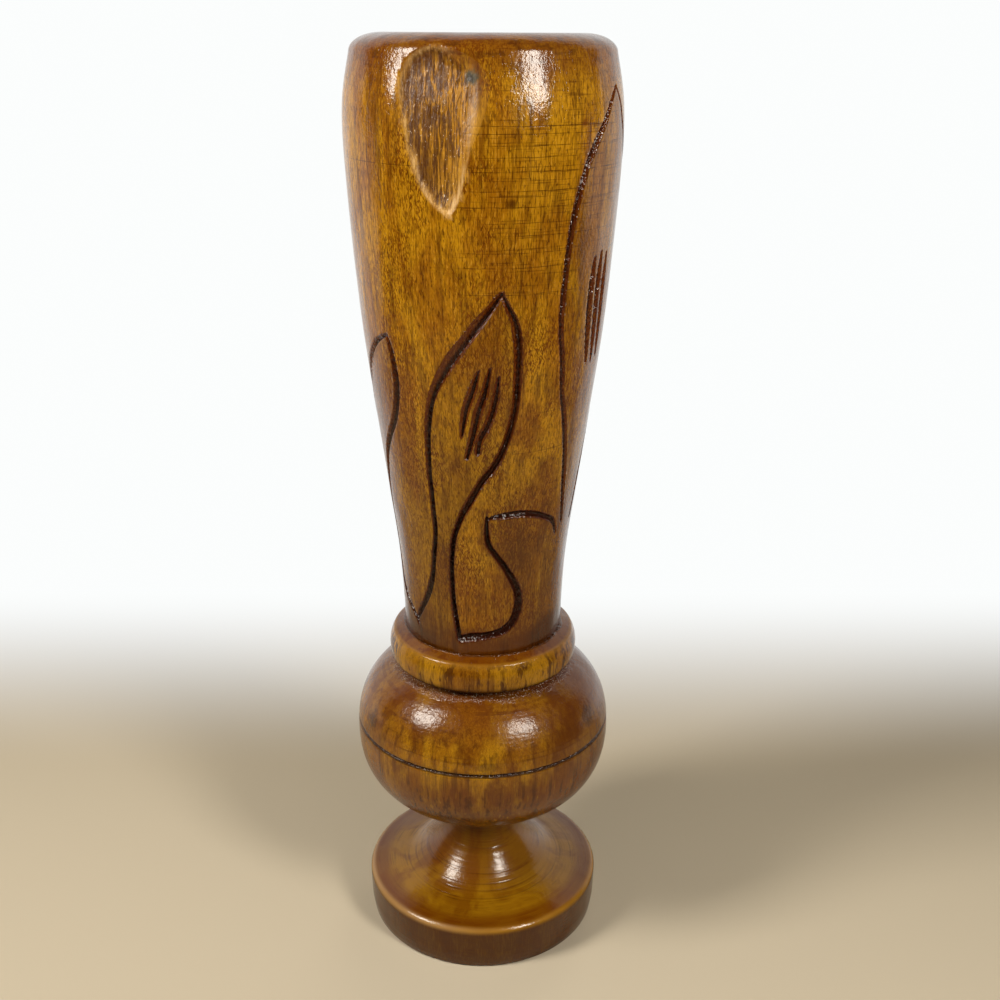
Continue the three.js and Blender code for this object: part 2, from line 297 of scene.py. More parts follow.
class BodyWall:
    """The body's outer wall, with its rounded rim: gives the radius at a height."""

    def __init__(self, sizes):
        self.bottom = COLLAR[1].z
        self.top = BODY[1].z
        self.round = (7.2 * MM, 4 * MM)
        self.start = self.top - self.round[1]
        height = self.start - self.bottom
        rim, base, belly = sizes.rim_radius, sizes.body_base_radius, sizes.belly_radius
        points = [(base + (belly - base) * k, self.bottom + height * h) for h, k in BODY_SWELL]
        points.append((rim + (belly - rim) * RIM_TURN[1], self.bottom + height * RIM_TURN[0]))
        points.append((rim, self.start))
        curve = smooth_curve(points, 0.5 * MM)
        turn = np.array(arc((rim - self.round[0], self.start), self.round, 0, 90, 40)[1:])
        self.radii, self.heights = np.concatenate([curve, turn]).T

    def radius_at(self, height):
        return float(np.interp(height, self.heights, self.radii))

    def point_at(self, angle, height):
        """A point of the wall, from an angle in degrees and a height in metres."""
        turn = math.radians(angle)
        radius = self.radius_at(height)
        return Vector((radius * math.sin(turn), -radius * math.cos(turn), height))

    def carries(self, co):
        """Whether a point lies on the outside of the wall."""
        radius = math.hypot(co.x, co.y)
        return co.z > self.bottom + 0.2 * MM and radius > self.radius_at(co.z) - 0.4 * MM


def body_profile(sizes, wall):
    low = wall.bottom + 0.1 * MM
    rows = 116
    outer = [low + (wall.start - low) * i / rows for i in range(rows + 1)]
    lip = 1.6 * MM
    corner = 3 * MM
    floor = wall.top - sizes.bore_depth
    inner = [
        *arc((sizes.mouth_radius + lip, wall.top - lip), (lip, lip), 90, 180, 8),
        *arc((BORE_FOOT - corner, floor + corner), (corner, corner), 0, -90, 6),
        (0, floor),
    ]
    return [
        (0, BODY[0].z),
        (TENON - TIP_BEVEL, BODY[0].z),
        (TENON, BODY[0].z + TIP_BEVEL),
        (TENON, wall.bottom),
        (sizes.body_base_radius - 0.05 * MM, wall.bottom),
        *[(wall.radius_at(height), height) for height in outer],
        *arc((sizes.rim_radius - wall.round[0], wall.start), wall.round, 0, 90, 12)[1:],
        *with_rows(inner, 4 * MM),
    ]


# Turning and finishing a piece


def turned(profile, steps):
    """Spins a profile about the Z axis into a closed shell whose faces point outwards."""
    bm = bmesh.new()
    verts = [bm.verts.new((radius, 0, height)) for radius, height in profile]
    edges = [bm.edges.new(pair) for pair in zip(verts, verts[1:])]
    bmesh.ops.spin(
        bm, geom=verts + edges, axis=(0, 0, 1), angle=math.tau, steps=steps, use_merge=True
    )
    bmesh.ops.remove_doubles(bm, verts=bm.verts[:], dist=1e-6)
    bmesh.ops.recalc_face_normals(bm, faces=bm.faces[:])
    return bm


def pressed_in(vert, depth):
    """Moves a vertex towards the Z axis."""
    radius = math.hypot(vert.co.x, vert.co.y)
    if radius > depth:
        vert.co.x *= 1 - depth / radius
        vert.co.y *= 1 - depth / radius


def unevenness(co, size, depth):
    """How far a hand-sanded surface lies below the true turned shape at a point."""
    return depth * (0.5 + 0.5 * noise.noise(co / size))


def added(name, data):
    """A new object in the scene."""
    made = bpy.data.objects.new(name, data)
    bpy.context.scene.collection.objects.link(made)
    return made


def meshed(bm, name, material):
    """A new smooth mesh object, made from a bmesh."""
    mesh = bpy.data.meshes.new(name)
    for face in bm.faces:
        face.smooth = True
    bm.to_mesh(mesh)
    bm.free()
    mesh.materials.append(material)
    return added(name, mesh)


def shown(bm, name, node, material):
    """Turns a bmesh into the piece that stands for a CAD node."""
    piece = meshed(bm, name, material)
    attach(piece, "root")
    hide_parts(node)


# Carving

# Each stroke: points as (angle, height in mm), its widths in mm at even steps along it, the
# share of the width to the left of its valley, seen along the stroke from outside, and its
# depth as a share of the full depth of the strokes or the veins.
OUTLINES = [
    # Tall leaf
    ([(66, 219.5), (61, 216.8), (56, 213), (51, 209.4), (46, 205.3), (43, 201.5), (41, 197.3),
      (39, 193), (37.7, 187), (37, 181), (36.3, 174.3), (37, 168.7), (39, 163.3), (42, 153.9),
      (45, 149), (49, 141.4), (52, 134.5), (54.5, 127), (57.5, 120)],
     (0.7, 2.3, 2.1, 1.9, 1.7, 1.8, 2.1, 2.2, 1.0), 0.3, 0.85),
    ([(66, 219.5), (71, 216.1), (74, 212.5), (79, 208.4), (85, 203.2), (91, 195), (94.5, 186),
      (96, 176), (95, 166), (91, 157), (85, 147), (79, 136.5), (74.5, 127), (71.5, 119)],
     (0.7, 1.8, 1.8, 1.8, 1.7, 1.8, 2.0, 1.0), 0.45, 0.8),
    # Middle leaf, with its stem down to the base
    ([(8, 178.3), (4, 175.1), (-2, 170.9), (-9, 166.1), (-15, 162), (-20, 158.2), (-24, 154.4),
      (-26.3, 150.5), (-28, 145.7), (-29, 140.5), (-29.5, 134.5), (-29.3, 127), (-29.2, 120.7),
      (-31.5, 114.3), (-34.5, 107.6), (-38.5, 102.5), (-45, 98), (-52.5, 93.5)],
     (1.3, 4.0, 4.2, 3.2, 2.4, 2.0, 2.0, 1.9, 1.9, 2.2, 1.6), 0.22, 1.0),
    ([(8, 178.3), (11, 175.4), (13.7, 172.8), (15.3, 169.8), (16.2, 166.4), (16.4, 162),
      (16.4, 157.5), (16.2, 153.4), (14.8, 148.8), (12.6, 144.5), (9.5, 140.6), (5, 137),
      (-1, 133.4), (-6.5, 129), (-12, 125), (-16, 120.8), (-18.5, 116.9), (-20, 111.8),
      (-20.3, 106.6), (-19.8, 101.5), (-18, 96.4), (-16, 91.2)],
     (1.0, 2.8, 3.0, 2.5, 2.5, 2.9, 2.7, 2.2, 1.8, 1.7, 1.8, 1.9), 0.3, 1.0),
    # Curl at the foot of the middle leaf
    ([(-17, 91.2), (-6, 92.1), (3, 92.5), (12, 93.3), (19, 95), (23.5, 97.8), (25, 101.1),
      (23.5, 104.3), (19.5, 107.6), (14, 111.3), (8, 114.6), (3.6, 117.4), (2.2, 120.7),
      (2.2, 124.8)],
     (2.6, 2.9, 2.9, 2.9, 2.9, 2.6, 2.2, 2.0, 2.0, 0.9), 0.5, 1.1),
    # Short arched stroke
    ([(2.5, 124.4), (8, 125.1), (20, 125.4), (31, 124.6), (40, 123.1), (48, 121), (52, 117.6)],
     (0.8, 2.3, 2.8, 2.7, 2.3, 1.9, 1.1), 0.4, 1.0),
    # Left leaf
    ([(-49, 167), (-47, 163.8), (-46, 159.8), (-46.2, 155.7), (-48, 151.4), (-51.5, 147),
      (-59, 142), (-67, 136.5), (-74, 129), (-79, 120), (-80.5, 111), (-77, 102.5), (-68, 97.5),
      (-59, 95), (-52.5, 92.3)],
     (1.0, 2.5, 2.9, 2.7, 2.3, 2.0, 1.9, 1.7, 1.2), 0.6, 0.95),
    ([(-49, 167), (-57, 165), (-64, 162), (-72, 157.5), (-82, 150), (-90, 141), (-94.5, 131),
      (-95, 120), (-91, 109), (-85, 101), (-79, 96)],
     (1.0, 3.2, 3.2, 2.6, 2.2, 1.9, 1.0), 0.35, 0.9),
]
VEINS = [
    ([(54.7, 184), (54.3, 175), (55, 168.5), (57, 160)], (1.0, 2.7, 2.7, 2.2, 1.0), 0.4, 1.0),
    ([(60.3, 185), (60.3, 174.6), (61, 167.9), (62.5, 160)], (1.0, 2.7, 2.7, 2.2, 1.0), 0.4, 1.0),
    ([(66, 184.5), (66.3, 174), (67, 167.3), (68, 161)], (1.0, 2.7, 2.7, 2.2, 1.0), 0.4, 1.0),
    ([(-2, 161), (-5, 156), (-8, 151.8), (-10.5, 145.5)], (1.0, 2.8, 2.8, 2.2, 1.1), 0.35, 1.0),
    ([(3.2, 161.5), (1, 156), (-2, 151.4), (-5, 145.3), (-8.3, 140)],
     (1.0, 2.7, 3.0, 2.4, 1.3), 0.35, 1.1),
    ([(7.3, 159.6), (6, 154.1), (3, 148.6), (-1, 144.9), (-2.5, 141.2)],
     (1.0, 2.4, 2.6, 2.7, 1.6), 0.35, 1.0),
]
# Outline of the gouged hollow, and of the torn wood inside it
HOLLOW = [
    (-17, 227.6), (-25, 227.2), (-31.8, 224.6), (-34.2, 220.4), (-33.3, 216), (-31.7, 212),
    (-30.1, 208.3), (-28.2, 204.6), (-26, 201.2), (-22.5, 198.1), (-18, 195.8), (-13.5, 194.3),
    (-9.5, 197.2), (-7.4, 200.6), (-5.8, 204.2), (-4.2, 207.6), (-1.8, 210.9), (0.8, 214.5),
    (2.6, 218.1), (2.2, 221.7), (-2, 224.8), (-9.5, 226.8),
]
TORN = [
    (-18, 226.6), (-24.8, 226.4), (-31, 223.6), (-33.3, 220), (-32.5, 216), (-30.9, 212),
    (-29.1, 208.3), (-27.1, 205), (-24.6, 201.2), (-21, 198.2), (-15, 196), (-11, 198.8),
    (-8, 204.2), (-6.5, 209), (-5.2, 214.5), (-4.4, 218.1), (-4.2, 220.6), (-8, 223.4),
    (-12, 225.5),
]
# Which two strokes bound each patch of duller wood, there and back
LEAF_PATCHES = [(0, 1), (2, 3), (6, 7)]
# Outline of the wood inside the curl, where the lacquer is thinner
CURL_PATCH = [
    (-17.5, 117.5), (-19.5, 111), (-19.5, 105), (-17, 95.5), (-13, 93.6), (3, 93.8), (13, 95),
    (20, 98), (23.4, 101.2), (21, 104.6), (12, 110.6), (4, 115), (0, 119), (-2, 124), (-9, 124),
]


def held(value):
    """The value, held between 0 and 1."""
    return min(1.0, max(0.0, value))


def unrolled(co, radius):
    """Where a point lies on a cylinder laid flat: how far across from the front, and how high."""
    return math.atan2(co.x, -co.y) * radius, co.z


def flat_route(route, radius):
    """The points of a stroke or outline, unrolled at a radius."""
    return [(math.radians(angle) * radius * MM, height * MM) for angle, height in route]


def tree_of(points):
    """A tree that finds the nearest of the points."""
    tree = KDTree(len(points))
    for i, point in enumerate(points):
        tree.insert(point, i)
    tree.balance()
    return tree


class Stroke:
    """A carved V groove: where it runs on the wall, and how deep it is beside its line."""

    burr_width = 0.35 * MM
    burr_height = 0.06 * MM

    def __init__(self, wall, route, widths, lean, depth):
        self.line = smooth_curve(flat_route(route, STROKE_RADIUS), 0.25 * MM)
        self.depth = depth
        self.steep_left = lean < 0.5
        turns = [math.degrees(across / (STROKE_RADIUS * MM)) for across, _ in self.line]
        self.points = [wall.point_at(turn, height) for turn, (_, height) in zip(turns, self.line)]
        self.tree = tree_of(self.points)
        last = len(self.points) - 1
        self.left, self.right, self.sides, self.fullness = [], [], [], []
        steps = np.linspace(0, last, len(widths))
        for i, point in enumerate(self.points):
            along = (self.points[min(i + 2, last)] - self.points[max(i - 2, 0)]).normalized()
            outward = Vector((point.x, point.y, 0)).normalized()
            self.sides.append(outward.cross(along))
            width = float(np.interp(i, steps, widths)) * MM
            drift = point / (6 * MM)
            self.left.append(width * lean * (1 + 0.22 * noise.noise(drift)))
            self.right.append(width * (1 - lean) * (1 + 0.22 * noise.noise(drift + Vector((9, 4, 1)))))
            chatter = 1 + 0.16 * noise.noise(point / (1.2 * MM)) + 0.14 * noise.noise(drift * 1.7)
            self.fullness.append(min(1.0, width / (2.0 * MM)) ** 0.6 * chatter)
        self.reach = 1.3 * max(*self.left, *self.right)

    def at(self, co):
        """The nearest place on the line, the offset to its left, and the distance from it."""
        _, index, distance = self.tree.find(co)
        return index, (co - self.points[index]).dot(self.sides[index]), distance

    def cut(self, co):
        """How deep the groove is at a point, and the share of its full depth."""
        index, side, distance = self.at(co)
        if distance > self.reach + 0.5 * MM:
            return 0.0, 0.0
        flank = self.left[index] if side > 0 else self.right[index]
        beyond = math.sqrt(max(0.0, distance**2 - side**2))
        share = 1 - abs(side) / flank - beyond / (0.6 * MM)
        if share > 0:
            share = min(1.0, share * 1.08)
            return self.depth * self.fullness[index] * share, share
        # A burr stands up along the lip of the steeper flank
        outside = abs(side) - flank
        steep = (side > 0) == self.steep_left
        if steep and outside < self.burr_width and beyond < 0.2 * MM:
            fall = 1 - outside / self.burr_width
            return -self.burr_height * self.fullness[index] * fall, 0.0
        return 0.0, 0.0

    def snapped(self, co):
        """Slides a point across the stroke on to its lip or valley when it is close to one."""
        index, side, distance = self.at(co)
        if distance > self.reach + 0.4 * MM:
            return co
        for target in (0.0, self.left[index], -self.right[index]):
            gap = target - side
            if abs(gap) < 0.16 * MM and distance**2 - side**2 < (0.2 * MM) ** 2:
                return co + self.sides[index] * gap
        return co


def inside(polygon, points):
    """Which points lie inside a closed polygon, by counting the edges that each one crosses."""
    hits = np.zeros(len(points), bool)
    for start, end in zip(polygon, np.roll(polygon, -1, axis=0)):
        spans = (start[1] > points[:, 1]) != (end[1] > points[:, 1])
        rise = end[1] - start[1]
        rise = rise if abs(rise) > 1e-12 else 1e-12
        crossing = start[0] + (points[:, 1] - start[1]) * (end[0] - start[0]) / rise
        hits ^= spans & (points[:, 0] < crossing)
    return hits


class Outline:
    """A closed outline on the unrolled wall, which gives the distance to its edge."""

    def __init__(self, route, radius):
        self.radius = radius * MM
        self.line = smooth_curve(flat_route([*route, route[0]], radius), 0.4 * MM)
        self.tree = tree_of([Vector((*spot, 0)) for spot in self.line])

    def holds(self, cos):
        """Which points of the wall lie inside."""
        return inside(self.line, np.array([unrolled(co, self.radius) for co in cos]))

    def edge(self, co):
        """The distance from a point of the wall to the outline, in millimetres."""
        return self.tree.find(Vector((*unrolled(co, self.radius), 0)))[2] / MM


def hollow_cut(co, edge, torn_edge, depth):
    """The depth of the drop-shaped hollow at a point, how torn its wood is, and how much painted shade
    lies on it.
    """
    across, height = unrolled(co, HOLLOW_RADIUS)
    height /= MM

    def fibres(width, run, seed):
        return noise.noise(Vector((across / width, height / run, seed)))

    # The bevel is narrow along the left edge and wide along the right one
    slope = held(edge / (1.2 if across < -8.6 else 3.4))
    bowl = held(edge / 6.5)
    # Towards the right the hollow fades out without an edge
    soft = held((across + 4) / 3)
    round_edge = 1 - (1 - bowl) ** 2
    bowl = round_edge + soft * (bowl * bowl * (3 - 2 * bowl) - round_edge)
    cut = depth * (0.38 * slope * (1 - 0.8 * soft) + 0.62 * bowl)
    torn = held((torn_edge + 0.4 + 1.1 * fibres(0.7, 7, 5)) / 1.1)
    # Painted shade on the torn floor, near its left and top edges
    shade = torn * max(0.0, 1 - torn_edge / 3.2) * held(max(-across - 5, height - 220) / 4)
    cut += torn * (0.16 * fibres(0.8, 12, 3) + 0.09 * fibres(0.45, 3, 7)) * MM
    return max(0.0, cut), torn, shade


def stroke_set(wall, strokes, depth):
    return [Stroke(wall, route, widths, lean, share * depth) for route, widths, lean, share in strokes]


def refine(bm, wall, strokes, hollow):
    """Splits the faces of the wall that the cuts reach."""
    faces = [face for face in bm.faces if wall.carries(face.calc_center_median())]
    centres = [face.calc_center_median() for face in faces]
    chosen = {}
    for face, centre, within in zip(faces, centres, hollow.holds(centres)):
        if within or any(s.tree.find(centre)[2] < s.reach + 0.9 * MM for s in strokes):
            chosen.update(dict.fromkeys(face.edges))
    bmesh.ops.subdivide_edges(bm, edges=list(chosen), cuts=3, use_grid_fill=True)


def mark_patches(verts, strokes, leaf_layer, worn_layer):
    """Marks the duller wood inside the leaves, and the thinner lacquer inside the curl."""
    places = np.array([unrolled(vert.co, STROKE_RADIUS * MM) for vert in verts])
    for there, back in LEAF_PATCHES:
        outline = np.concatenate([strokes[there].line, strokes[back].line[::-1]])
        for vert, within in zip(verts, inside(outline, places)):
            if within:
                vert[leaf_layer] = 1.0
    curl = Outline(CURL_PATCH, STROKE_RADIUS)
    for vert, within in zip(verts, curl.holds([vert.co for vert in verts])):
        if within:
            vert[worn_layer] = min(1.0, curl.edge(vert.co) / 1.5)


def carve(bm, wall, sizes):
    """Cuts the strokes and the hollow into the turned body, and marks the cut wood."""
    strokes = stroke_set(wall, OUTLINES, sizes.groove_depth)
    strokes += stroke_set(wall, VEINS, sizes.vein_depth)
    hollow = Outline(HOLLOW, HOLLOW_RADIUS)
    torn_floor = Outline(TORN, HOLLOW_RADIUS)
    refine(bm, wall, strokes, hollow)
    cut_layer, torn_layer, shade_layer, bevel_layer, leaf_layer, worn_layer = [
        bm.verts.layers.float.new(name) for name in ("cut", "torn", "shade", "bevel", "leaf", "worn")
    ]
    verts = [vert for vert in bm.verts if wall.carries(vert.co)]
    for vert in verts:
        if vert.co.z < wall.top - 1.5 * MM:
            scale = wall.radius_at(vert.co.z) / math.hypot(vert.co.x, vert.co.y)
            vert.co.x *= scale
            vert.co.y *= scale
    cos = [vert.co.copy() for vert in verts]
    for vert, in_hollow, in_torn in zip(verts, hollow.holds(cos), torn_floor.holds(cos)):
        for stroke in strokes:
            vert.co = stroke.snapped(vert.co)
        cuts = [stroke.cut(vert.co) for stroke in strokes]
        depth, share = max(cuts)
        if depth <= 0:
            depth = min(cuts)[0]
        vert[cut_layer] = share
        if in_hollow:
            edge = hollow.edge(vert.co)
            torn_edge = torn_floor.edge(vert.co) * (1 if in_torn else -1)
            hollow_depth, torn, shade = hollow_cut(vert.co, edge, torn_edge, sizes.hollow_depth)
            vert[torn_layer] = torn
            vert[shade_layer] = shade
            vert[bevel_layer] = min(1.0, edge / 0.5) * (1 - torn)
            depth = max(depth, hollow_depth)
        pressed_in(vert, depth + unevenness(vert.co, 16 * MM, 0.12 * MM))
    mark_patches(verts, strokes, leaf_layer, worn_layer)


# Shader nodes


class Wire:
    """An output of a shader node; arithmetic with wires adds the nodes that work it out."""

    def __init__(self, socket):
        self.socket = socket
        self.tree = socket.id_data

    def calc(self, operation, other=0.0):
        kind = "VectorMath" if self.socket.type == "VECTOR" else "Math"
        return place(self.tree, kind, {0: self, 1: other}, operation=operation)

    def flipped(self, operation, number):
        return place(self.tree, "Math", {0: number, 1: self}, operation=operation)

    __add__ = partialmethod(calc, "ADD")
    __sub__ = partialmethod(calc, "SUBTRACT")
    __mul__ = partialmethod(calc, "MULTIPLY")
    __truediv__ = partialmethod(calc, "DIVIDE")
    __abs__ = partialmethod(calc, "ABSOLUTE")
    __rsub__ = partialmethod(flipped, "SUBTRACT")
    __rtruediv__ = partialmethod(flipped, "DIVIDE")

    def axis(self, name):
        return place(self.tree, "SeparateXYZ", {0: self}, name)

    def size(self):
        return place(self.tree, "VectorMath", {0: self}, "Value", operation="LENGTH")


def place(tree, kind, inputs=None, output=0, **settings):
    """Adds a node, feeds its inputs with wires or values, and gives back an output."""
    made = tree.nodes.new("ShaderNode" + kind)
    for name, value in settings.items():
        setattr(made, name, value)
    for name, value in (inputs or {}).items():
        feed(made.inputs[name], value)
    return Wire(made.outputs[output])


def feed(socket, value):
    if isinstance(value, Wire):
        value.tree.links.new(value.socket, socket)
    elif socket.type == "RGBA":
        socket.default_value = (*value, 1.0)
    else:
        socket.default_value = value


def span(value, low, high, to_low=0.0, to_high=1.0):
    """Maps a value from one range to another, eased at both ends and held beyond them."""
    ranges = {0: value, 1: low, 2: high, 3: to_low, 4: to_high}
    return place(value.tree, "MapRange", ranges, interpolation_type="SMOOTHSTEP")


def strongest(first, *others):
    """The largest of several values."""
    for other in others:
        first = first.calc("MAXIMUM", other)
    return first


def cloud(vector, scale, detail=2.0, roughness=0.5, distortion=0.0):
    """Soft noise; the scale is in features per millimetre when the vector is in millimetres."""
    shape = {"Scale": scale, "Detail": detail, "Roughness": roughness, "Distortion": distortion}
    return place(vector.tree, "TexNoise", {"Vector": vector, **shape})


def radius_of(position):
    """The distance from the Z axis."""
    return (position * (1, 1, 0)).size()


# Shared node groups


def make_group(name, work, **inputs):
    """A node group whose outputs a function works out from its inputs, by their names."""
    tree = bpy.data.node_groups.new(name, "ShaderNodeTree")
    inputs = {"position": (0.0, 0.0, 0.0), **inputs}
    for label, value in inputs.items():
        kind = "NodeSocketVector" if isinstance(value, tuple) else "NodeSocketFloat"
        socket = tree.interface.new_socket(name=label.capitalize(), in_out="INPUT", socket_type=kind)
        socket.default_value = value
    entry = tree.nodes.new("NodeGroupInput").outputs
    results = work(**{label: Wire(entry[label.capitalize()]) for label in inputs})
    for label in results:
        tree.interface.new_socket(name=label, in_out="OUTPUT", socket_type="NodeSocketFloat")
    leave = tree.nodes.new("NodeGroupOutput").inputs
    for label, wire in results.items():
        feed(leave[label], wire)


def wood_grain(position):
    """Wood grain along Z: fine fibres, broader strands, bands, slanted flecks and pores."""
    fibres = cloud(position * (1, 1, 0.09), 3.4, 3, 0.65)
    flecks = []
    for turn, scale, stretch in ((0.4, 3.3, 0.2), (-0.32, 2.8, 0.18)):
        inputs = {"Vector": position, "Angle": turn}
        leaning = place(position.tree, "VectorRotate", inputs, rotation_type="Y_AXIS")
        flecks.append(span(cloud(leaning * (1, 1, stretch), scale, 1.5, 0.6), 0.52, 0.62))
    patches = span(cloud(position * (1, 1, 0.6), 0.09, 2, 0.6), 0.4, 0.6, 0.3, 1.0)
    return {
        "Fibres": span(fibres, 0.48, 0.64),
        "Lights": span(fibres, 0.44, 0.34),
        "Strands": span(cloud(position * (1, 1, 0.05), 0.6, 4, 0.62, 0.4), 0.47, 0.68),
        "Bands": span(cloud(position * (1, 1, 0.3), 0.1, 3, 0.6, 0.8), 0.38, 0.62),
        "Flecks": strongest(*flecks) * patches,
        "Pores": span(cloud(position * (1, 1, 0.25), 2.8, 1), 0.59, 0.68),
    }


def turning_marks(position, fineness):
    """Marks left by the turning: fine rings about the Z axis, uneven from place to place."""
    inputs = {"X": radius_of(position), "Y": 0.0, "Z": position.axis("Z")}
    section = place(position.tree, "CombineXYZ", inputs)
    rings = cloud(section + cloud(position, 0.05, 1) * 1.6, fineness, 3, 0.6)
    breaks = span(cloud(position, 0.14, 3, 0.6), 0.4, 0.62, 0.15, 1.0)
    return {"Rings": span(rings, 0.5, 0.68) * breaks, "Height": rings}


def lacquer_film(position, peel):
    """Thick lacquer: the height of its orange peel, and how dull it is from place to place."""
    lumps = cloud(position, 1.2, 1.5) * 0.065
    specks = cloud(position, 2.8, 1) * 0.03
    sags = cloud(position * (1, 1, 0.5), 0.14, 1) * 0.4
    dullness = span(cloud(position, 0.09, 3, 0.6), 0.3, 0.7)
    return {"Height": (lumps + specks + sags) * peel, "Dullness": dullness}


def ragged_spot(position, centre, size, tallness):
    """A small mark on the surface, with a ragged edge; it can be taller than it is wide."""
    flatten = place(position.tree, "CombineXYZ", {"X": 1.0, "Y": 1.0, "Z": 1 / tallness})
    share = ((position - centre) * flatten).size() / size
    return {"Mask": span(cloud(position, 0.8, 3, 0.6) * 1.2 + share, 1.6, 0.9)}


def ring_scratch(position, level, width, middle, reach):
    """A thin ring scratched in the turning at one height, which fades in and out round the piece."""
    angle = position.axis("X").calc("ARCTAN2", position.axis("Y") * -1.0)
    wandering = cloud(position, 0.12, 2) * 0.4 + (level - 0.2)
    line = span(abs(position.axis("Z") - wandering) / width, 1.0, 0.3)
    fade = span(abs(angle - middle) / reach, 1.0, 0.75)
    breaks = span(cloud(position, 0.35, 2, 0.7), 0.36, 0.56, 0.2, 1.0)
    return {"Mask": line * fade * breaks}


def build_shared_groups():
    make_group("Wood grain", wood_grain)
    make_group("Turning marks", turning_marks, fineness=1.0)
    make_group("Lacquer", lacquer_film, peel=1.0)
    make_group("Spot", ragged_spot, centre=(0.0, 0.0, 0.0), size=2.0, tallness=1.0)
    make_group("Ring scratch", ring_scratch, level=0.0, width=0.2, middle=0.0, reach=1.0)


# Materials


class Wood:
    """A lacquered wood: its material, its colour so far, and where a point of it lies."""

    def __init__(self, name, finish, shine):
        self.material = bpy.data.materials.new(name)
        self.material.use_nodes = True
        self.tree = self.material.node_tree
        self.finish = finish
        self.shader = self.tree.nodes["Principled BSDF"].inputs
        self.shader["IOR"].default_value = 1.5
        self.shader["Specular IOR Level"].default_value = shine
        self.shader["Specular Tint"].default_value = (1.0, 0.93, 0.82, 1.0)
        self.position = place(self.tree, "TexCoord", output="Object") * (1000, 1000, 1000)
        self.across, self.level = self.position.axis("X"), self.position.axis("Z")
        self.radius = radius_of(self.position)

    def attribute(self, name):
        return place(self.tree, "Attribute", output="Fac", attribute_name=name)

    def cloud(self, scale, detail=2.0, roughness=0.5, upright=1.0):
        """Soft noise; upright is its scale along the height, as a share of that across."""
        return cloud(self.position * (1, 1, upright), scale, detail, roughness)

    def use(self, shared, **inputs):
        """Places a shared group and gives back its outputs."""
        made = self.tree.nodes.new("ShaderNodeGroup")
        made.node_tree = bpy.data.node_groups[shared]
        for label, value in {"position": self.position, **inputs}.items():
            feed(made.inputs[label.capitalize()], value)
        return {socket.name: Wire(socket) for socket in made.outputs}

    def spot(self, centre, size, tallness=1.0):
        return self.use("Spot", centre=centre, size=size, tallness=tallness)["Mask"]

    def mixed(self, factor, a, b):
        """Mixes two colours, each a wire or the name of a tone of the finish."""
        a, b = (getattr(self.finish, c) if isinstance(c, str) else c for c in (a, b))
        return place(self.tree, "Mix", {0: factor, 6: a, 7: b}, 2, data_type="RGBA")

    def layered(self, colour, *coats):
        """Lays coats over a colour, each given as a mask, its strength and its colour."""
        for mask, strength, coat in coats:
            colour = self.mixed(mask * strength, colour, coat)
        return colour

    def coat(self, *coats):
        self.colour = self.layered(self.colour, *coats)

    def grained(self, fibre, strand, fleck, shade=0.0):
        """Lays the common grained wood, in these strengths, and gives back its grain; shade lays painted
        shade over the whole piece.
        """
        grain = self.use("Wood grain")
        self.colour = self.mixed(grain["Bands"], "amber", "honey")
        self.coat(
            (grain["Lights"], fibre * 0.7, "pale"),
            (grain["Strands"], strand, "streak"),
            (grain["Fibres"], fibre, "streak"),
            (grain["Flecks"], fleck, "russet"),
            (grain["Pores"], fibre, "streak"),
        )
        # Painted shade over the whole piece
        self.colour = self.mixed(shade, self.colour, "streak")
        return grain

    def finished(self, roughness, height):
        """Feeds the shader and gives back the material; the height is in millimetres."""
        bump = {"Strength": 1.0, "Distance": MM, "Height": height}
        feed(self.shader["Base Color"], self.colour)
        feed(self.shader["Roughness"], roughness)
        feed(self.shader["Normal"], place(self.tree, "Bump", bump))
        return self.material


def body_grain(wood, wander, drifted):
    """Figured, flecked wood at the left; plainer, with fine turned lines, at the upper right."""
    drift_across = wander * 30 + (wood.across - 15)
    plain = span(drift_across, -5, 4) * span(drifted, 165, 185)
    grain = wood.grained(fibre=0.62, strand=0.6, fleck=(1 - plain * 0.75) * 0.9)
    rounds = span(cloud(wood.position * (0.035, 0.035, 1), 1.9, 3, 0.7), 0.54, 0.64)
    wood.coat((rounds * strongest(plain, 0.25), 0.5, "streak"))
    return grain


def body_pools(wood, grain, drifted):
    """Lacquer pooled under the rim; reddish, darker wood at the base, partly pooled lacquer and partly
    painted shade towards the joint; painted shade that darkens the wall towards the bottom; thin lacquer
    inside the curl.
    """
    worn = wood.attribute("worn")
    rim_pool = span(drifted, 218, 228, 0.0, 0.7)
    # Reddish wood at the base: pooled lacquer, with painted shade towards the joint with the collar and
    # at the sides
    base_pool_and_shade = span(drifted, 98, 89.5, 0.0, 0.8)
    # Painted shade: the wall grows darker towards the bottom, less inside the curl
    painted_falloff = span(drifted, 165, 108, 0.0, 0.42) * (1 - worn * 0.6)
    brushed = wood.cloud(0.25, 3, 0.6, 3)
    wood.coat(
        (painted_falloff, 1.0, "streak"),
        (strongest(rim_pool, base_pool_and_shade) * (1 - worn * 0.85), 1.0, "russet"),
        (base_pool_and_shade, 0.5, "streak"),
        (span(abs(wood.across), 7, 14) * base_pool_and_shade, 0.6, "stain"),
        (grain["Strands"] * base_pool_and_shade, 0.6, "stain"),
        (span(brushed, 0.5, 0.64) * rim_pool, 0.8, "streak"),
        (wood.spot((8.5, -19.5, 115), 7, 1.3), 0.35, "streak"),
        (wood.attribute("leaf"), 0.25, "streak"),
    )
    return painted_falloff


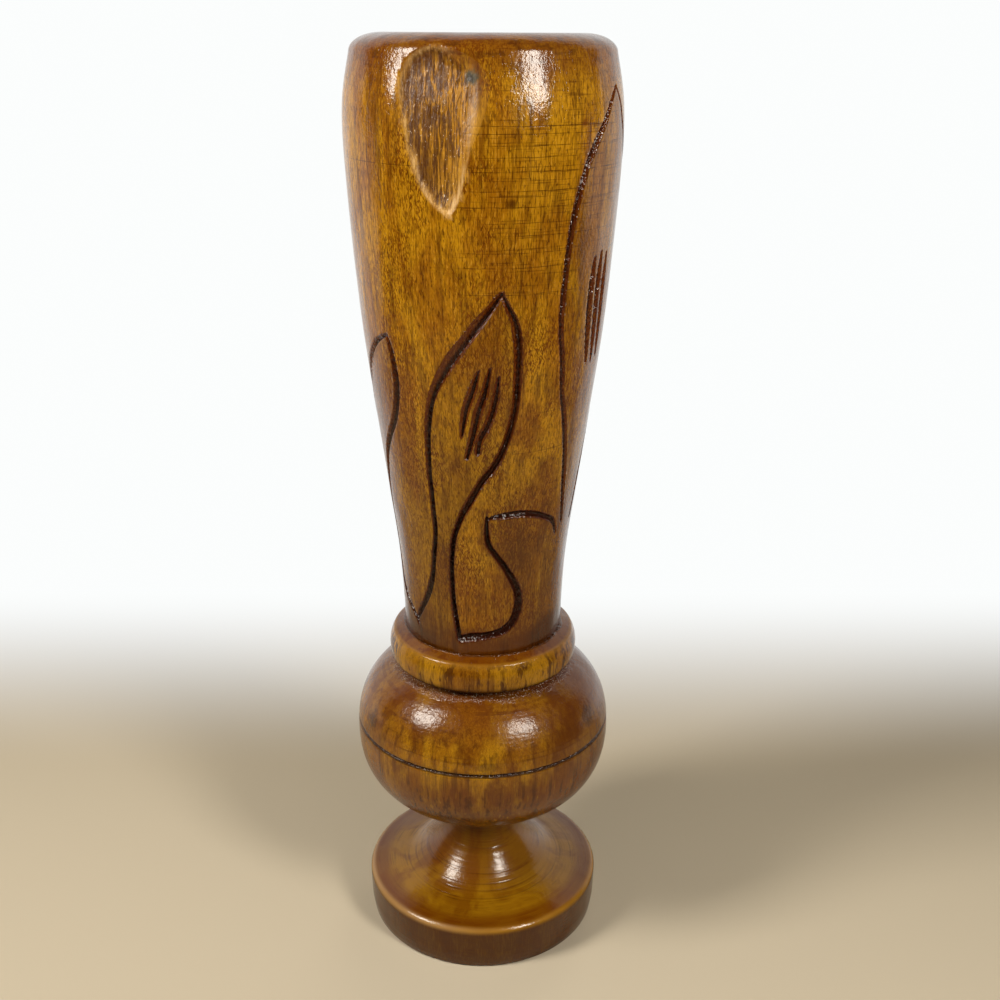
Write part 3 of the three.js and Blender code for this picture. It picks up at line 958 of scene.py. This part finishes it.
# Rings scratched in the turning: height, angle of the middle and reach in radians, and width
SCRATCHES = [
    (212.5, 0.45, 0.75, 0.15), (211, 0.4, 0.7, 0.12), (208.7, 0.75, 0.8, 0.16),
    (206.4, 0.4, 0.5, 0.1), (204.5, -0.1, 1.4, 0.12), (203.6, 0.6, 0.8, 0.18),
    (201.8, 0.5, 0.55, 0.1), (199.7, 0.3, 0.45, 0.14), (196.4, 0.6, 0.9, 0.18),
    (193.2, 0.45, 0.5, 0.1), (190.6, 0.5, 0.7, 0.13), (187, 0.25, 0.45, 0.1),
    (183.9, 0.35, 0.6, 0.13), (178.2, 0.3, 0.5, 0.12), (150.5, 0.75, 0.35, 0.1),
    (141, 0.6, 0.5, 0.12),
]


def body_scratches(wood):
    """Scratches, and a dark and a red fleck among them."""
    masks = []
    for level, middle, reach, width in SCRATCHES:
        ring = wood.use("Ring scratch", level=level, middle=middle, reach=reach, width=width)
        masks.append(ring["Mask"])
    scratches = strongest(*masks)
    wood.coat(
        (scratches, 0.7, "streak"),
        (wood.spot((5.9, -30.6, 197.1), 1.5), 0.75, "streak"),
        (wood.spot((21, -23.2, 212.8), 1.2), 0.75, "russet"),
    )
    return scratches


def body_hollow(wood, torn, bevel, drifted):
    """The hollow: pale bevelled edge with a painted highlight, torn floor with painted shade at its left
    and top, and the knot at its edge.
    """
    left_side = span(wood.across, -4.5, -13)
    tip = span(drifted, 207, 197)
    fibres = wood.cloud(2.6, 4, 0.7, 0.055)
    # Dark fibres, with painted shade added towards the left edge
    dark_fibres_and_shade = span(left_side * 0.05 + fibres, 0.48, 0.56)
    # Dark patches, with painted shade added towards the left; they are laid only in the upper part of
    # the hollow, as painted shade under its rim
    patches = left_side * 0.12 + wood.cloud(0.4, 3, 0.7, 0.4)
    # Painted highlight specks on the torn fibres
    sparks = wood.cloud(3.2, 2, 0.6, 0.5)
    raw = wood.layered(
        wood.mixed(tip, "raw", "pale"),
        (span(fibres, 0.44, 0.36), 0.7, "pale"),
        (span(patches, 0.52, 0.6) * span(wood.level, 198, 210), 0.7, "streak"),
        (dark_fibres_and_shade, 0.9, "streak"),
        # Painted shade along the torn floor's left and top edges
        (wood.attribute("shade"), 0.85, "streak"),
        (span(sparks, 0.68, 0.73), 0.7, "glint"),
    )
    # Pale bevel at the left and at the tip: pale cut wood, with a painted highlight on the left bevel,
    # and painted highlight specks
    pale_edge_and_highlight = bevel * (strongest(left_side * 0.85, tip) * (1 - dark_fibres_and_shade * 0.6))
    wood.coat(
        (bevel * span(wood.level, 220, 212), 0.3, "pale"),
        (pale_edge_and_highlight, 0.8, "pale"),
        (pale_edge_and_highlight, 0.2, "glint"),
        (torn, 0.9, raw),
        (wood.spot((-2.6, -29.8, 221.7), 2.1), 0.9, "knot"),
        (wood.spot((-2.9, -29.8, 221.5), 1.3), 0.88, "stain"),
    )


def body_cuts(wood, grain, stained, painted_falloff, cut):
    """Stain in the cuts, with the grain of the wood on their slopes, and painted shade that is darkest
    deep in them and lower on the wall.
    """
    wood.coat(
        (stained, 0.88, "flank"),
        (stained * grain["Lights"], 0.4, "amber"),
        (stained * grain["Flecks"], 0.5, "stain"),
        # Painted shade, darkest deep in the cuts and lower on the wall
        (span(painted_falloff + cut, 0.42, 0.78), 0.86, "stain"),
    )


def body_bore(wood, boring, sizes):
    """Bare wood in the tapering bore; gives back where it is."""
    mouth = sizes.mouth_radius / MM
    taper = (sizes.mouth_radius - BORE_FOOT) / sizes.bore_depth
    widened = (BODY[1].z / MM - wood.level) * taper + wood.radius
    bare = span(widened, mouth + 1.3, mouth + 0.6)
    wood.coat((bare, 1.0, wood.mixed(boring["Rings"] * 0.7, "bore", "streak")))
    return bare


def body_material(sizes, finish):
    wood = Wood("body_wood", finish, shine=0.34)
    wander = wood.cloud(0.12, 3, 0.6)
    # The height, moved up and down, so that no pool of lacquer ends in a level line
    drifted = wander * 14 + (wood.level - 7)
    torn, bevel, cut = (wood.attribute(name) for name in ("torn", "bevel", "cut"))
    stained = span(cut, 0.0, 0.08)
    boring = wood.use("Turning marks", fineness=1.4)

    grain = body_grain(wood, wander, drifted)
    painted_falloff = body_pools(wood, grain, drifted)
    scratches = body_scratches(wood)
    body_hollow(wood, torn, bevel, drifted)
    body_cuts(wood, grain, stained, painted_falloff, cut)
    bare = body_bore(wood, boring, sizes)

    film = wood.use("Lacquer", peel=1.0)
    rough = (film["Dullness"] * 0.08 + 0.1) * (1 - stained * 0.4)
    rough += torn * 0.15 + bevel * 0.25 + bare * 0.4
    height = film["Height"] + grain["Pores"] * -0.008 + scratches * -0.004
    height += wood.cloud(2.6, 3, 0.7, 0.2) * torn * 0.2
    height += wood.cloud(1.0, 2, 0.6) * stained * 0.4
    height += boring["Height"] * bare * 0.25
    return wood.finished(rough, height)


def collar_material(finish):
    wood = Wood("collar_wood", finish, shine=0.3)
    grain = wood.grained(fibre=0.3, strand=0.6, fleck=0.2, shade=0.23)
    level, radius = wood.level, wood.radius
    dashes = wood.cloud(0.5, 3, 0.6, 0.2)
    seam = span(grain["Bands"] * 0.4 + radius, 20.9, 20.5)
    wood.coat(
        (span(dashes, 0.53, 0.6), 0.8, "streak"),
        # The ledge round the body
        (span(radius, 23.7, 22.7), 0.8, "russet"),
        (seam, 0.75, "streak"),
        # Painted shadow on the underside, and a painted highlight along the upper edge
        (span(level, 80.2, 78.4), 0.85, "stain"),
        (span(level, 84.4, 85.5) * span(radius, 22.2, 22.9), 0.2, "pale"),
    )
    film = wood.use("Lacquer", peel=0.6)
    height = film["Height"] + grain["Pores"] * -0.02 + wood.cloud(0.9, 2, 0.6) * seam * 0.9
    return wood.finished(film["Dullness"] * 0.08 + 0.14, height)


# Blots on the bulb: centre, size, tallness and strength
BLOTS = [
    ((4, -24.5, 39.8), 4.2, 0.8, 0.9),
    ((-7.5, -28.5, 46), 2.6, 1.8, 0.6),
    ((-27.5, -14.5, 65.5), 3.4, 1.2, 0.6),
    ((-22.5, -22, 63), 1.5, 1.0, 0.7),
    ((25.5, -15.5, 67.5), 4.5, 0.8, 0.6),
    ((1, -32, 62.8), 4.0, 0.45, 0.45),
]


def bulb_material(sizes, finish):
    wood = Wood("bulb_wood", finish, shine=0.4)
    grain = wood.grained(fibre=0.3, strand=0.6, fleck=0.35, shade=0.22)
    level = wood.level
    turning = wood.use("Turning marks", fineness=0.9)
    cloudy = wood.cloud(0.15, 3, 0.6, 0.7)
    blotches = span(cloudy, 0.5, 0.64)
    right_side = span(cloudy * 20 + wood.across, 18, 34)
    lower = span(level, 60, 54)
    strokes = wood.cloud(0.75, 3, 0.65, 0.1)
    wood.coat(
        (turning["Rings"] * span(level, 58, 66), 0.75, "streak"),
        (blotches, 0.5, "russet"),
        (blotches, 0.3, "streak"),
        (span(grain["Bands"] * 2 + level, 68.5, 73), 0.5, "russet"),
        (right_side, 0.5, "russet"),
        (right_side, 0.25, "streak"),
        (lower, 0.5, "russet"),
        # Painted shade on the underside, over the foot's neck
        (span(level, 50, 39), 0.9, "streak"),
        (span(strokes, 0.52, 0.64) * lower, 0.75, "streak"),
        (span(strokes, 0.4, 0.3) * lower, 0.35, "honey"),
    )
    for centre, size, tallness, strength in BLOTS:
        wood.coat((wood.spot(centre, size, tallness), strength, "stain"))
    line = span(abs(level - sizes.line_height / MM), 0.65, 0.3)
    # Torn end grain under the collar ring, with painted highlight specks
    torn = span(wood.cloud(0.45, 3, 0.6) * 2.2 + level, 76.6, 77.6)
    glitter = wood.cloud(2.2, 3, 0.7)
    wood.coat(
        (line, 0.85, "stain"),
        (torn, 0.55, "flank"),
        (torn * span(glitter, 0.58, 0.68), 0.5, "glint"),
    )
    film = wood.use("Lacquer", peel=1.0)
    height = film["Height"] + turning["Height"] * 0.06 + glitter * torn * 0.4
    height += wood.cloud(0.9, 2, 0.6) * line * 0.9
    return wood.finished(film["Dullness"] * 0.1 + 0.17, height)


# Steps turned into the foot's flare: radius and thickness
STEPS = [(15.2, 0.2), (17.3, 0.25), (18.9, 0.35), (20.9, 0.25)]


def foot_material(finish):
    wood = Wood("foot_wood", finish, shine=0.38)
    grain = wood.grained(fibre=0.04, strand=0.0, fleck=0.0, shade=0.5)
    radius = wood.radius
    turning = wood.use("Turning marks", fineness=1.1)
    finer = wood.use("Turning marks", fineness=2.4)
    # How far round the disc's rounded edge a point is: below zero on top, above zero on the side
    turned_over = radius - wood.level - 19.1
    red = span(grain["Bands"] * 1.6 + radius, 26.4, 29.4) * span(turned_over, 0.4, -0.8)
    # The rounded edge: reddish, with a painted highlight that is brighter towards the left
    edge = span(abs(turned_over), 1.9, 0.2)
    # Painted shade on the disc's side
    side = span(turned_over, 0.1, 1.4) * (1 - grain["Fibres"] * 0.2)
    # The turned steps; their dark lines are painted shade
    steps = strongest(*[span(abs(radius - ring) / width, 1.0, 0.3) for ring, width in STEPS])
    steps *= span(wood.cloud(0.08, 2), 0.4, 0.6, 0.2, 1.0)
    wood.coat(
        (span(radius, 19.5, 15), 0.42, "russet"),
        (turning["Rings"], 0.55, "russet"),
        (finer["Rings"], 0.45, "streak"),
        (steps, 0.4, "streak"),
        (red, 0.7, "russet"),
        (side, 0.35, "russet"),
        (side, 0.84, "streak"),
        (edge, 0.4, "russet"),
        (edge, 0.32, "pale"),
        (edge * span(wood.across, 8, -18), 0.09, "glint"),
    )
    film = wood.use("Lacquer", peel=0.5)
    height = film["Height"] + turning["Height"] * 0.09 + steps * -0.03
    return wood.finished(film["Dullness"] * 0.08 + 0.14, height)


# Stage


def facing(direction):
    """A rotation whose -Z looks along a direction, with its Y nearest to straight up."""
    back = -direction.normalized()
    right = Vector((0, 0, 1)).cross(back).normalized()
    return Matrix((right, back.cross(right), back)).transposed().to_4x4()


def add_camera(scene, studio):
    pitch, yaw, roll = (math.radians(angle) for angle in (21.29, 0.87, 0.35))
    data = bpy.data.cameras.new("Camera")
    data.lens = studio.lens
    data.sensor_width = 36
    scene.camera = added("Camera", data)
    level = math.cos(pitch)
    ahead = Vector((math.sin(yaw) * level, math.cos(yaw) * level, -math.sin(pitch)))
    spot_of_camera = Matrix.Translation((0, -studio.camera_distance, BODY[1].z))
    scene.camera.matrix_world = spot_of_camera @ Matrix.Rotation(-roll, 4, ahead) @ facing(ahead)


def add_lamp(name, energy, azimuth, distance, low, size):
    """A soft rectangular lamp beside the vase, hidden from the camera; low is its lower edge."""
    data = bpy.data.lights.new(name, "AREA")
    data.shape = "RECTANGLE"
    data.size, data.size_y = size
    data.energy = energy
    lamp = added(name, data)
    turn = math.radians(azimuth)
    centre = Vector((distance * math.sin(turn), -distance * math.cos(turn), low + size[1] / 2))
    target = Vector((0, 0, 0.8 * BODY[1].z))
    lamp.matrix_world = Matrix.Translation(centre) @ facing(target - centre)
    lamp.visible_camera = False
    return lamp


def add_floor(studio):
    """A floor that sweeps up behind the vase into a white backdrop."""
    width = 3.2
    front = -2.5
    back = 1.3
    top = 2.6
    sweep = 0.5
    line = [(front, 0), *arc((back - sweep, sweep), (sweep, sweep), -90, 0, 12), (back, top)]
    bm = bmesh.new()
    verts = [bm.verts.new((-width, y, z)) for y, z in line]
    edges = [bm.edges.new(pair) for pair in zip(verts, verts[1:])]
    spread = bmesh.ops.extrude_edge_only(bm, edges=edges)
    moved = [item for item in spread["geom"] if isinstance(item, bmesh.types.BMVert)]
    bmesh.ops.translate(bm, verts=moved, vec=(2 * width, 0, 0))
    bmesh.ops.recalc_face_normals(bm, faces=bm.faces[:])
    floor = meshed(bm, "Floor", floor_material(studio))


def floor_material(studio):
    """Plain pale floor, which turns into a white backdrop for the camera and for reflections."""
    material = bpy.data.materials.new("floor_paint")
    material.use_nodes = True
    tree = material.node_tree
    tree.nodes.remove(tree.nodes["Principled BSDF"])
    paint = place(tree, "BsdfDiffuse", {"Color": studio.floor})
    glow = place(tree, "Emission", {"Color": (0.97, 0.985, 0.98), "Strength": 1.0})
    paths = tree.nodes.new("ShaderNodeLightPath").outputs
    seen = strongest(*[Wire(paths[f"Is {kind} Ray"]) for kind in ("Camera", "Glossy", "Transmission")])
    depth = place(tree, "TexCoord", output="Object").axis("Y")
    share = seen * span(depth, 0.06, 0.2)
    surface = place(tree, "MixShader", {0: share, 1: paint, 2: glow})
    feed(tree.nodes["Material Output"].inputs["Surface"], surface)
    return material


def add_world(scene, studio):
    world = bpy.data.worlds.new("World")
    scene.world = world
    world.use_nodes = True
    background = world.node_tree.nodes["Background"].inputs
    feed(background["Color"], (1.0, 1.0, 1.0))
    feed(background["Strength"], studio.surroundings)


# Operators and panel


def panel_values(scene):
    return scene.bud_vase_sizes, scene.bud_vase_finish


class BUDVASE_OT_foot(bpy.types.Operator):
    """Turn the foot: a thick disc that sweeps up into a slim neck"""

    bl_idname = "budvase.foot"
    bl_label = "Foot"

    def execute(self, context):
        sizes, finish = panel_values(context.scene)
        bm = turned(with_rows(foot_profile(sizes), 1.5 * MM), steps=200)
        for vert in bm.verts:
            if 0.5 * MM < vert.co.z < BULB[0].z - 0.2 * MM:
                pressed_in(vert, unevenness(vert.co, 14 * MM, 0.08 * MM))
        shown(bm, "Foot", "foot", foot_material(finish))
        return {"FINISHED"}


class BUDVASE_OT_bulb(bpy.types.Operator):
    """Turn the bulb: a squarish round knop with one uneven line cut round it"""

    bl_idname = "budvase.bulb"
    bl_label = "Bulb"

    def execute(self, context):
        sizes, finish = panel_values(context.scene)
        bm = turned(bulb_profile(sizes), steps=240)
        for vert in bm.verts:
            if math.hypot(vert.co.x, vert.co.y) < 12 * MM:
                continue
            wander = 0.12 * MM * noise.noise(vert.co / (9 * MM))
            share = 1 - abs(vert.co.z - sizes.line_height - wander) / (sizes.line_width / 2)
            depth = unevenness(vert.co, 13 * MM, 0.1 * MM)
            if share > 0:
                nick = 1 + 0.35 * noise.noise(vert.co / (1.3 * MM))
                depth += sizes.line_depth * 0.75 * min(1.0, share * 1.3) * nick
            pressed_in(vert, depth)
        shown(bm, "Bulb", "bulb", bulb_material(sizes, finish))
        return {"FINISHED"}


class BUDVASE_OT_collar_ring(bpy.types.Operator):
    """Turn the collar ring that sits between the bulb and the body"""

    bl_idname = "budvase.collar_ring"
    bl_label = "Collar ring"

    def execute(self, context):
        sizes, finish = panel_values(context.scene)
        bm = turned(with_rows(collar_profile(sizes), 1.2 * MM), steps=200)
        for vert in bm.verts:
            if math.hypot(vert.co.x, vert.co.y) > 12 * MM:
                pressed_in(vert, unevenness(vert.co, 11 * MM, 0.1 * MM))
        shown(bm, "Collar_ring", "collar_ring", collar_material(finish))
        return {"FINISHED"}


class BUDVASE_OT_body(bpy.types.Operator):
    """Turn, bore and carve the body, with its leaf outlines and gouged hollow"""

    bl_idname = "budvase.body"
    bl_label = "Body"

    def execute(self, context):
        sizes, finish = panel_values(context.scene)
        wall = BodyWall(sizes)
        bm = turned(body_profile(sizes, wall), steps=160)
        carve(bm, wall, sizes)
        bmesh.ops.recalc_face_normals(bm, faces=bm.faces[:])
        shown(bm, "Body", "body", body_material(sizes, finish))
        return {"FINISHED"}


class BUDVASE_OT_stage(bpy.types.Operator):
    """Set up the camera, the soft lamps, the dim surroundings and the floor"""

    bl_idname = "budvase.stage"
    bl_label = "Stage"

    def execute(self, context):
        scene = context.scene
        studio = scene.bud_vase_studio
        scene.view_settings.view_transform = "Standard"
        add_camera(scene, studio)
        add_lamp(
            "Left lamp", studio.left_power, azimuth=-66, distance=0.35, low=0.28, size=(0.12, 0.18)
        )
        add_lamp(
            "Right lamp", studio.right_power, azimuth=41, distance=0.35, low=0.255, size=(0.09, 0.145)
        )
        back = add_lamp(
            "Back lamp", studio.back_power, azimuth=160, distance=1.2, low=0.3, size=(0.6, 0.6)
        )
        back.visible_glossy = False
        add_world(scene, studio)
        add_floor(studio)
        return {"FINISHED"}


class BUDVASE_PT_panel(bpy.types.Panel):
    """Lists the sizes, the finishes and the steps that build the vase"""

    bl_idname = "BUDVASE_PT_panel"
    bl_label = "Bud Vase"
    bl_space_type = "VIEW_3D"
    bl_region_type = "UI"
    bl_category = "Bud Vase"

    def draw(self, context):
        for operator in PIECES:
            self.layout.operator(operator.bl_idname)
        for owner in ("bud_vase_sizes", "bud_vase_finish", "bud_vase_studio"):
            settings = getattr(context.scene, owner)
            box = self.layout.box()
            for name in settings.__annotations__:
                box.prop(settings, name, text=name.replace("_", " ").capitalize())


PIECES = (
    BUDVASE_OT_foot,
    BUDVASE_OT_bulb,
    BUDVASE_OT_collar_ring,
    BUDVASE_OT_body,
    BUDVASE_OT_stage,
)
CLASSES = (BudVaseSizes, BudVaseFinish, BudVaseStudio, *PIECES, BUDVASE_PT_panel)


def register():
    for cls in CLASSES:
        bpy.utils.register_class(cls)
    bpy.types.Scene.bud_vase_sizes = PointerProperty(type=BudVaseSizes)
    bpy.types.Scene.bud_vase_finish = PointerProperty(type=BudVaseFinish)
    bpy.types.Scene.bud_vase_studio = PointerProperty(type=BudVaseStudio)


def unregister():
    del bpy.types.Scene.bud_vase_studio
    del bpy.types.Scene.bud_vase_finish
    del bpy.types.Scene.bud_vase_sizes
    for cls in reversed(CLASSES):
        bpy.utils.unregister_class(cls)


def main():
    register()
    build_shared_groups()
    bpy.ops.budvase.foot()
    bpy.ops.budvase.bulb()
    bpy.ops.budvase.collar_ring()
    bpy.ops.budvase.body()
    bpy.ops.budvase.stage()


if __name__ == "__main__":
    main()
